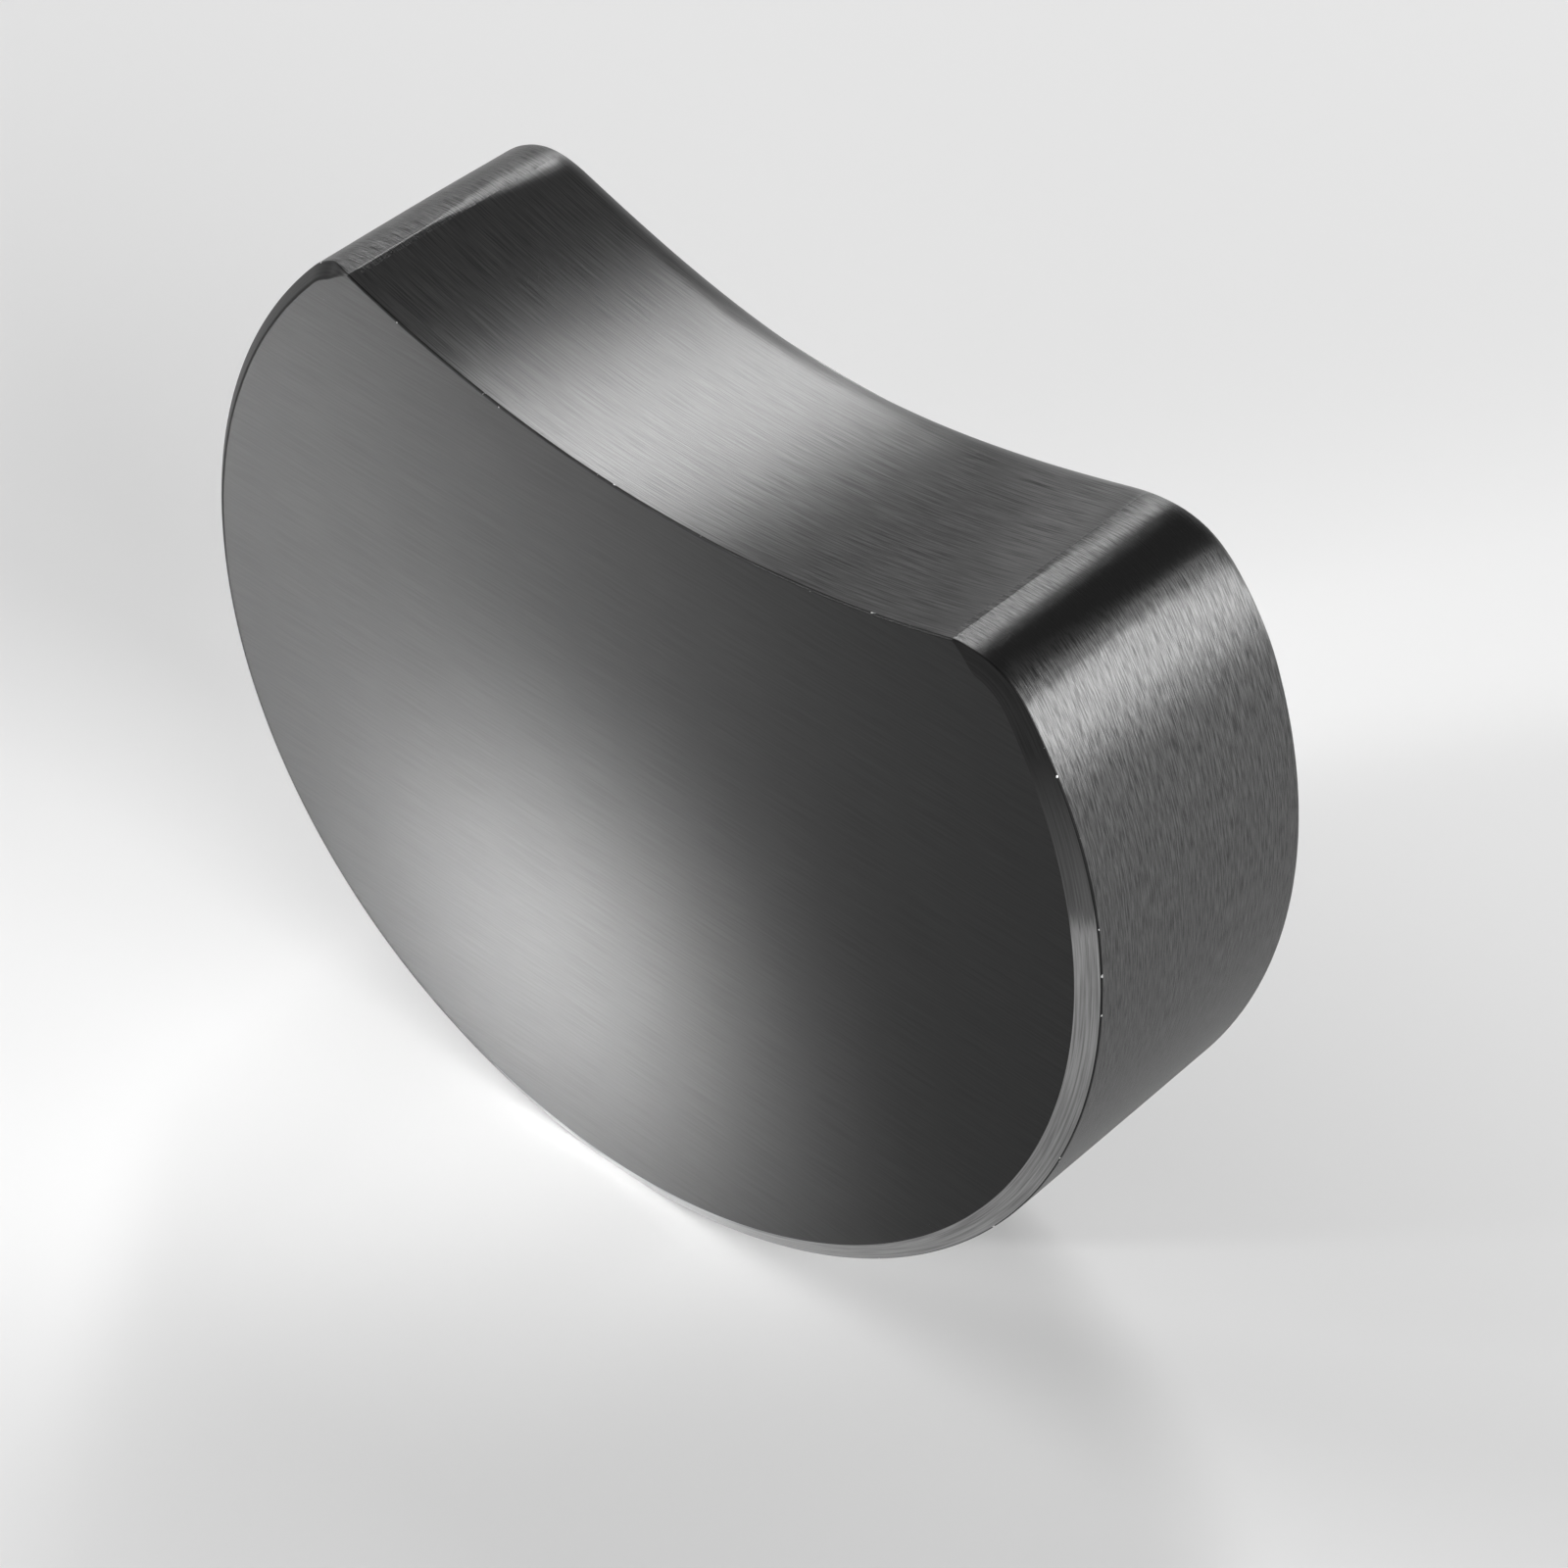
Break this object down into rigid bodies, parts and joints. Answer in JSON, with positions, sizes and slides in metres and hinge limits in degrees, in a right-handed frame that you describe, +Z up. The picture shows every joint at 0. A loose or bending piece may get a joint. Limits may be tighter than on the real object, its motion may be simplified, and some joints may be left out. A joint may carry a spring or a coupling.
{
  "type": "chopstick rest",
  "caption": "Crescent chopstick rest in brushed dark steel: a round-bottomed hollow shell on a narrow flat foot, with a shallow saddle between two horns.",
  "frame": {"origin": "in the middle of the flat foot, on the table, halfway between the faces", "axes": "+X from the left horn to the right horn, +Y from the front face to the back face, +Z up"},
  "size_m": [0.042, 0.0116, 0.0352],
  "materials": {
    "plate": "dark coated stainless steel, brushed from horn to horn, satin",
    "band": "dark coated stainless steel, brushed along the strip",
    "saddle": "dark coated stainless steel, brushed along the saddle",
    "bevel_weld": "dark coated ground weld, slightly lighter",
    "flush_weld": "dark coated weld, ground flush",
    "horn_weld": "dark coated ground weld, slightly lighter"
  },
  "bodies": {
    "root": {"front_plate": "plate", "back_plate": "plate", "rim_band": "band", "saddle_plate": "saddle", "front_rim_weld": "bevel_weld", "back_rim_weld": "flush_weld", "front_saddle_weld": "flush_weld", "back_saddle_weld": "flush_weld", "left_horn_weld": "horn_weld", "right_horn_weld": "horn_weld"}
  },
  "joints": []
}
